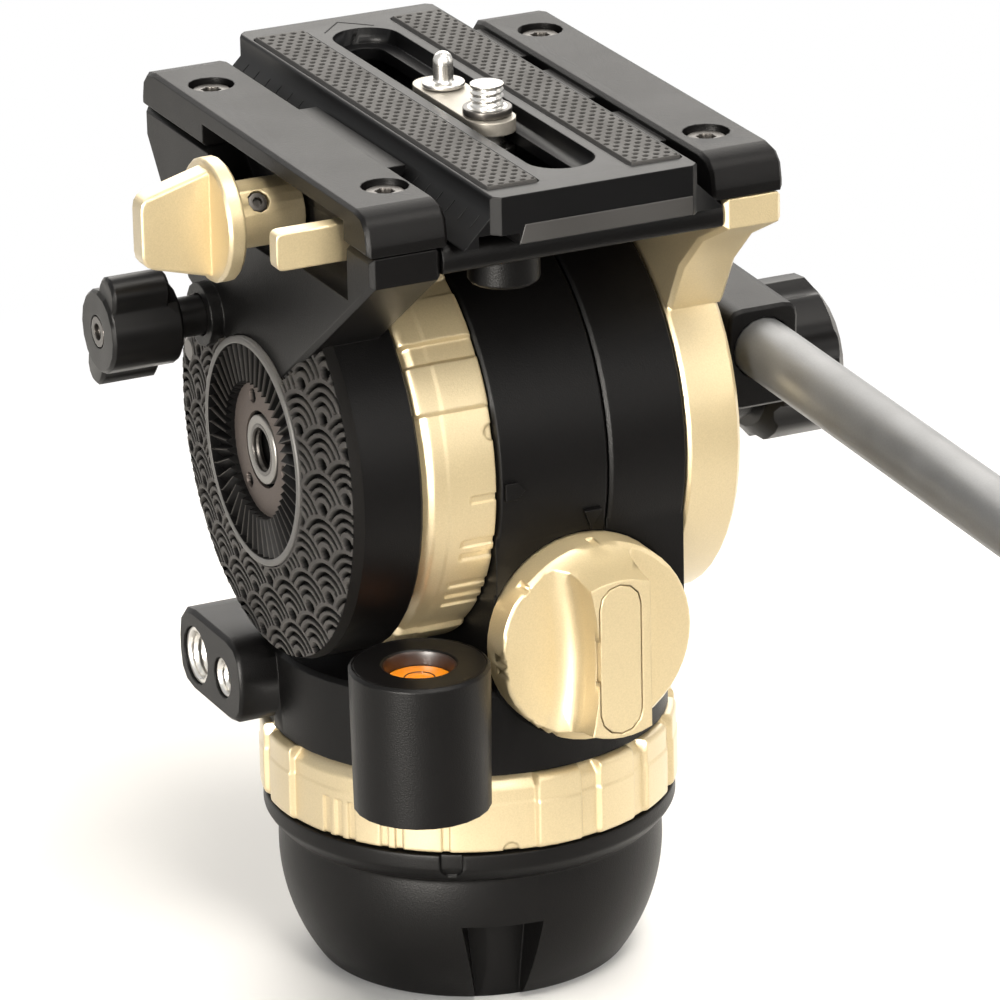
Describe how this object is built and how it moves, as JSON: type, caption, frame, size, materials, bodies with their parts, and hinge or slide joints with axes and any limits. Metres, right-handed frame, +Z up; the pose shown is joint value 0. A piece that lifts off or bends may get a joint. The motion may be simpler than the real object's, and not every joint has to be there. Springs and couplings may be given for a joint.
{
  "type": "fluid video head",
  "caption": "Half-ball fluid video head with drag rings, counterbalance knob, two side arms, sliding camera plate, level, lock knobs and a rear pan handle.",
  "frame": {"origin": "centre of the flat under the half ball", "axes": "+Z up out of the tripod bowl, +X to the operator's right along the tilt axis, +Y to the lens side"},
  "size_m": [0.1438, 0.3284, 0.1811],
  "materials": {
    "black_coat": "black powder coat on aluminium castings",
    "black_anodised": "satin black anodised",
    "gold_coat": "fine textured pale gold coat",
    "steel": "turned steel",
    "rubber": "matt rubber",
    "friction": "friction discs",
    "amber": "clear amber fluid vial",
    "black_plastic": "moulded black plastic"
  },
  "bodies": {
    "base": {"bowl": "black_coat", "bowl_insert": "steel", "pan_spindle": "steel", "pan_drag_pack": "friction"},
    "pan_ring": {"pan_drag_ring": "gold_coat"},
    "pan_body": {"body_casting": "black_coat", "side_cover": "black_coat", "level_cap": "black_plastic", "level_vial": "amber", "pan_bearing": "steel", "accessory_insert_large": "steel", "accessory_insert_small": "steel", "tilt_bearing_left": "steel", "tilt_bearing_right": "steel", "counterbalance_spring": "steel", "tilt_drag_pack": "friction"},
    "balance_knob": {"counterbalance_knob": "gold_coat", "knob_cover": "gold_coat", "knob_spindle": "steel"},
    "pan_lock": {"pan_lock_knob": "black_plastic"},
    "tilt_ring": {"tilt_drag_ring": "gold_coat"},
    "tilt_platform": {"left_arm": "black_coat", "wave_disc": "black_anodised", "left_rosette": "black_anodised", "left_rosette_insert": "steel", "right_arm": "gold_coat", "right_rosette": "black_anodised", "right_rosette_insert": "steel", "tilt_shaft": "steel", "floor_plate": "black_coat", "catch_housing": "black_coat", "catch_spring": "steel", "left_cap": "black_coat", "right_cap": "black_coat", "cap_screw_1": "steel", "cap_screw_2": "steel", "cap_screw_3": "steel", "cap_screw_4": "steel", "arm_side_screw": "black_anodised"},
    "clamp": {"clamp_shoe": "black_anodised"},
    "catch": {"catch_pin": "steel"},
    "plate": {"quick_release_plate": "black_anodised", "rubber_strip_left": "rubber", "rubber_strip_right": "rubber"},
    "carrier": {"screw_carrier": "steel", "video_pin": "steel"},
    "mount_screw": {"camera_screw": "steel"},
    "plate_lock": {"plate_lock_knob": "gold_coat", "lock_knob_set_screw": "steel"},
    "release": {"plate_release_lever": "gold_coat"},
    "tilt_lock": {"tilt_lock_knob": "black_plastic", "tilt_lock_screw": "steel"},
    "handle": {"handle_clamp": "black_coat", "handle_tube": "black_anodised", "handle_grip": "rubber", "handle_end_cap": "black_plastic"},
    "handle_lock": {"handle_knob": "black_plastic", "handle_bolt": "steel"}
  },
  "joints": [
    {"name": "pan", "type": "hinge", "parent": "base", "child": "pan_body", "pos_m": [0, 0, 0.05], "axis": [0, 0, 1], "continuous": true},
    {"name": "pan_drag_setting", "type": "hinge", "parent": "base", "child": "pan_ring", "pos_m": [0, 0, 0.0426], "axis": [0, 0, 1], "range_deg": [-16.7, 33.9]},
    {"name": "pan_lock_turn", "type": "hinge", "parent": "pan_body", "child": "pan_lock", "pos_m": [0, 0, 0.0594], "axis": [0.4695, 0.8829, 0], "range_deg": [0, 120]},
    {"name": "counterbalance_setting", "type": "hinge", "parent": "pan_body", "child": "balance_knob", "pos_m": [0.007, -0.0372, 0.0768], "axis": [0, 1, 0], "range_deg": [0, 144]},
    {"name": "tilt_drag_setting", "type": "hinge", "parent": "pan_body", "child": "tilt_ring", "pos_m": [-0.0187, 0, 0.1095], "axis": [1, 0, 0], "range_deg": [-37, 16.8]},
    {"name": "tilt", "type": "hinge", "parent": "pan_body", "child": "tilt_platform", "pos_m": [0, 0, 0.1095], "axis": [1, 0, 0], "range_deg": [-80, 65]},
    {"name": "tilt_lock_turn", "type": "hinge", "parent": "tilt_platform", "child": "tilt_lock", "pos_m": [-0.05, 0.02, 0.131], "axis": [-1, 0, 0], "range_deg": [0, 120]},
    {"name": "plate_lock_turn", "type": "hinge", "parent": "tilt_platform", "child": "plate_lock", "pos_m": [-0.05, -0.006, 0.1589], "axis": [-1, 0, 0], "range_deg": [0, 90]},
    {"name": "clamp_shoe_slide", "type": "slide", "parent": "tilt_platform", "child": "clamp", "axis": [-1, 0, 0], "range_m": [0, 0.0007]},
    {"name": "release_lever_turn", "type": "hinge", "parent": "tilt_platform", "child": "release", "pos_m": [-0.0378, -0.0395, 0.163], "axis": [0, 0, -1], "range_deg": [0, 18], "stiffness_Nm_per_rad": 0.05, "springref_deg": -11.46},
    {"name": "catch_pin_slide", "type": "slide", "parent": "tilt_platform", "child": "catch", "axis": [0, 0, -1], "range_m": [0, 0.0022], "deforming": ["catch_spring"]},
    {"name": "plate_slide", "type": "slide", "parent": "tilt_platform", "child": "plate", "axis": [0, 1, 0], "range_m": [-0.028, 0.013]},
    {"name": "carrier_slide", "type": "slide", "parent": "plate", "child": "carrier", "axis": [0, 1, 0], "range_m": [-0.03, 0.033]},
    {"name": "camera_screw_turn", "type": "hinge", "parent": "carrier", "child": "mount_screw", "pos_m": [0, -0.0148, 0.17], "axis": [0, 0, 1], "continuous": true},
    {"name": "handle_angle", "type": "hinge", "parent": "tilt_platform", "child": "handle", "pos_m": [0.045, 0, 0.1095], "axis": [1, 0, 0], "continuous": true},
    {"name": "handle_lock_turn", "type": "hinge", "parent": "handle", "child": "handle_lock", "pos_m": [0.068, 0, 0.1095], "axis": [1, 0, 0], "range_deg": [0, 270]}
  ],
  "couplings": [
    {"joint": "clamp_shoe_slide", "follows": "plate_lock_turn", "m_per_rad": 0.0004456},
    {"joint": "release_lever_turn", "follows": "catch_pin_slide", "rad_per_m": 142.79}
  ]
}
